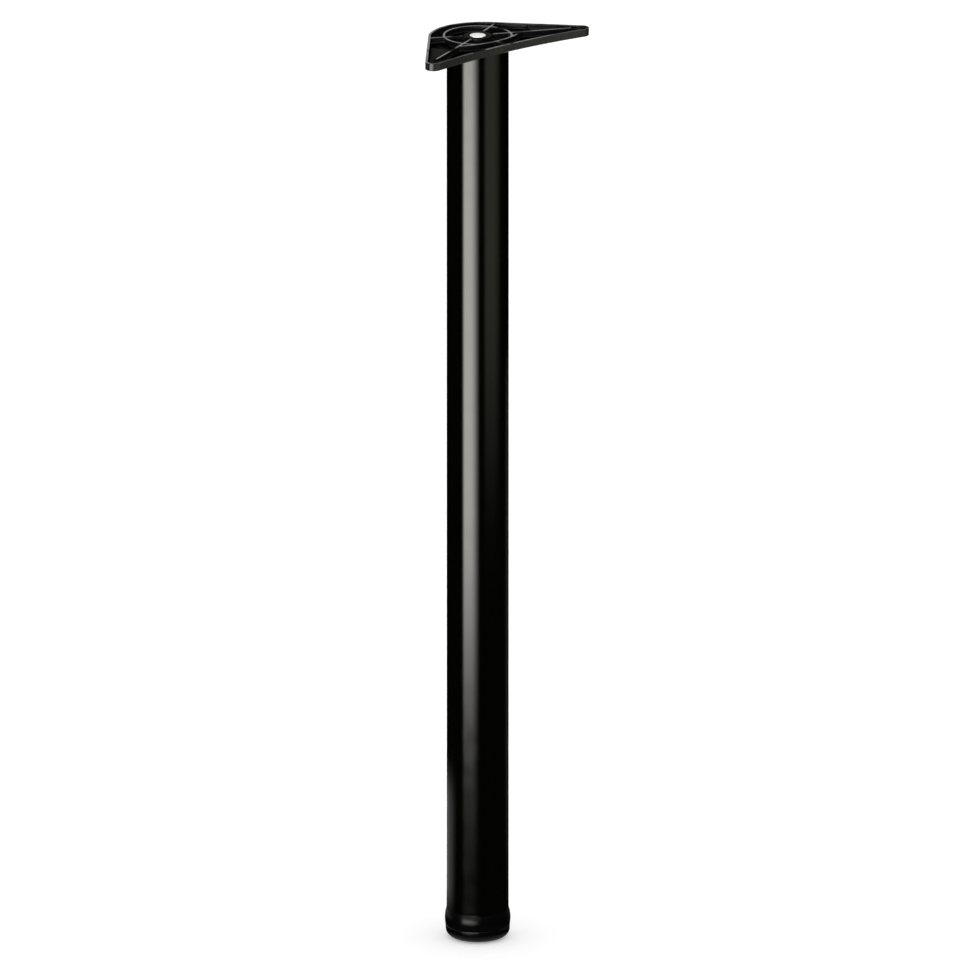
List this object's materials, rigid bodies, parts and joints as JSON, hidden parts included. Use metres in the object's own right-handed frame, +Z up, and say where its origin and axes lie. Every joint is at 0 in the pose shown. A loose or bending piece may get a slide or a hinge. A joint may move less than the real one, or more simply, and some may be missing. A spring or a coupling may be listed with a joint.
{
  "type": "height adjustable table leg",
  "caption": "Round black steel table leg with a ribbed cast mounting plate on top and a screw-adjusted levelling foot below.",
  "frame": {"origin": "centre of the foot's lower face, on the floor, with the foot screwed right in", "axes": "+Z up the tube to the mounting plate, +Y towards the plate's rounded apex, X along the line through the plate's two tips"},
  "size_m": [0.2, 0.0965, 0.9],
  "materials": {
    "cast_plate": "satin",
    "tube_paint": "gloss",
    "plated_steel": "bright",
    "plug_plastic": "moulded",
    "foot_plastic": "satin",
    "glide_plastic": "matt"
  },
  "bodies": {
    "leg": {"mounting_plate": "cast_plate", "hub_stud": "plated_steel", "top_nut": "plated_steel", "top_plug": "plug_plastic", "leg_tube": "tube_paint", "foot_ferrule": "foot_plastic"},
    "glide": {"foot_glide": "glide_plastic"},
    "foot": {"foot_body": "foot_plastic"}
  },
  "joints": [
    {"name": "foot_slide", "type": "slide", "parent": "leg", "child": "glide", "axis": [0, 0, -1], "range_m": [0, 0.02]},
    {"name": "foot_turn", "type": "hinge", "parent": "glide", "child": "foot", "pos_m": [0, 0, 0.01], "axis": [0, 0, -1], "range_deg": [0, 1440]}
  ],
  "couplings": [
    {"joint": "foot_slide", "follows": "foot_turn", "m_per_rad": 0.00079577}
  ]
}
